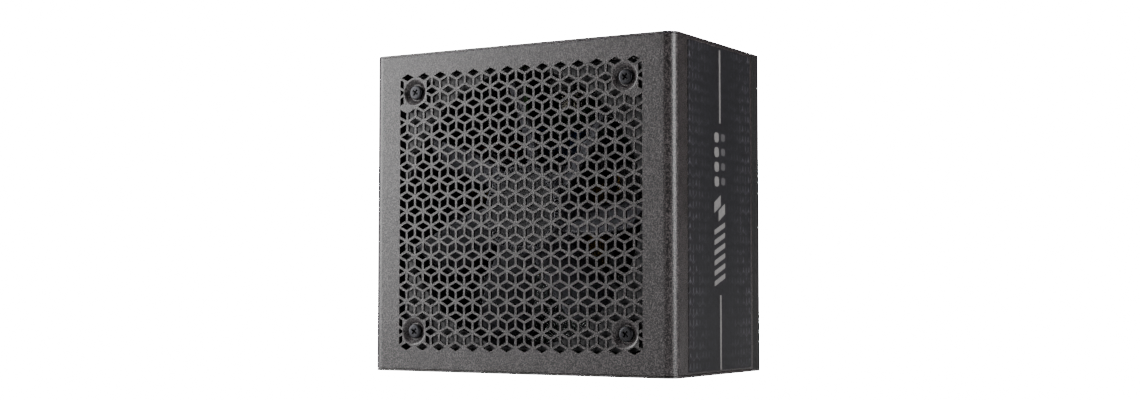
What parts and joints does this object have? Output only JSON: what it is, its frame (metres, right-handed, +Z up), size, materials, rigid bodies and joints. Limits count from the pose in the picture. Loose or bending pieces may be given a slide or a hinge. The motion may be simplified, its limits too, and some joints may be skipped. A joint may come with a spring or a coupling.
{
  "type": "computer power supply",
  "caption": "Modular computer power supply with a perforated fan face, turning cooling fan, rocking mains switch, mains inlet and rows of cable sockets",
  "frame": {"origin": "on the floor under the middle of the case, which stands on its socket end", "axes": "+X across the fan face towards the side label, +Y from the fan face to the base plate, +Z up to the mains end"},
  "size_m": [0.15, 0.086, 0.1425],
  "materials": {
    "aluminium_sink": "plain",
    "black_nylon": "moulded",
    "black_wire": "sleeved",
    "blackened_steel": "black zinc",
    "blue_wire": "sleeved",
    "bronze": "sintered",
    "brown_wire": "sleeved",
    "capacitor_sleeve": "shrink sleeve",
    "ceramic_disc": "dipped",
    "circuit_board": "solder mask",
    "clear_film": "clear",
    "copper_wire": "enamelled",
    "fan_plastic": "moulded satin",
    "ferrite": "matt",
    "film_capacitor": "moulded",
    "glass_fuse": "glazed",
    "green_wire": "sleeved",
    "insulating_film": "smooth",
    "moulded_epoxy": "moulded",
    "powder_coat": "fine textured matt",
    "printed_film": "satin",
    "relay_case": "moulded",
    "rocker_plastic": "moulded",
    "steel": "plain",
    "tinned_brass": "tinned"
  },
  "bodies": {
    "case": {"fan_cover": "powder_coat", "fan_grille": "powder_coat", "base_tray": "powder_coat", "mains_panel": "powder_coat", "side_vent": "powder_coat", "front_vent": "powder_coat", "socket_panel": "powder_coat", "cover_screws": "blackened_steel", "fan_screws": "blackened_steel", "side_label": "printed_film", "rating_label": "printed_film", "fan_frame": "fan_plastic", "fan_bearing": "bronze", "fan_stator": "copper_wire", "fan_circuit_board": "circuit_board", "air_baffle": "clear_film", "fan_lead": "black_wire", "fan_plug": "rocker_plastic", "mains_inlet": "black_nylon", "inlet_pins": "tinned_brass", "switch_housing": "black_nylon", "switch_terminals": "tinned_brass", "live_lead": "brown_wire", "neutral_lead": "blue_wire", "earth_lead": "green_wire", "earth_screw": "steel", "main_board": "circuit_board", "board_standoffs": "bronze", "board_screws": "steel", "insulating_sheet": "insulating_film", "filter_chokes": "copper_wire", "x_capacitors": "film_capacitor", "y_capacitors": "ceramic_disc", "mains_fuse": "glass_fuse", "surge_varistor": "ceramic_disc", "inrush_relay": "relay_case", "rectifier_bridge": "moulded_epoxy", "rectifier_heatsink": "aluminium_sink", "correction_choke": "copper_wire", "bulk_capacitors": "capacitor_sleeve", "primary_heatsink": "aluminium_sink", "switching_transistors": "moulded_epoxy", "main_transformer": "ferrite", "resonant_choke": "ferrite", "standby_transformer": "ferrite", "output_heatsink": "aluminium_sink", "output_capacitors": "capacitor_sleeve", "converter_board": "circuit_board", "control_board": "circuit_board", "bus_bars": "tinned_brass", "socket_board": "circuit_board", "motherboard_sockets": "black_nylon", "eight_pin_sockets": "black_nylon", "six_pin_sockets": "black_nylon", "socket_pins": "tinned_brass"},
    "impeller": {"fan_rotor": "fan_plastic", "rotor_yoke": "steel", "rotor_magnet": "ferrite", "fan_shaft": "steel"},
    "rocker": {"switch_rocker": "rocker_plastic"}
  },
  "joints": [
    {"name": "fan_spin", "type": "hinge", "parent": "case", "child": "impeller", "pos_m": [0, -0.0402, 0.07], "axis": [0, -1, 0], "continuous": true},
    {"name": "switch_rock", "type": "hinge", "parent": "case", "child": "rocker", "pos_m": [-0.00835, 0.019, 0.1368], "axis": [1, 0, 0], "range_deg": [0, 16]}
  ]
}
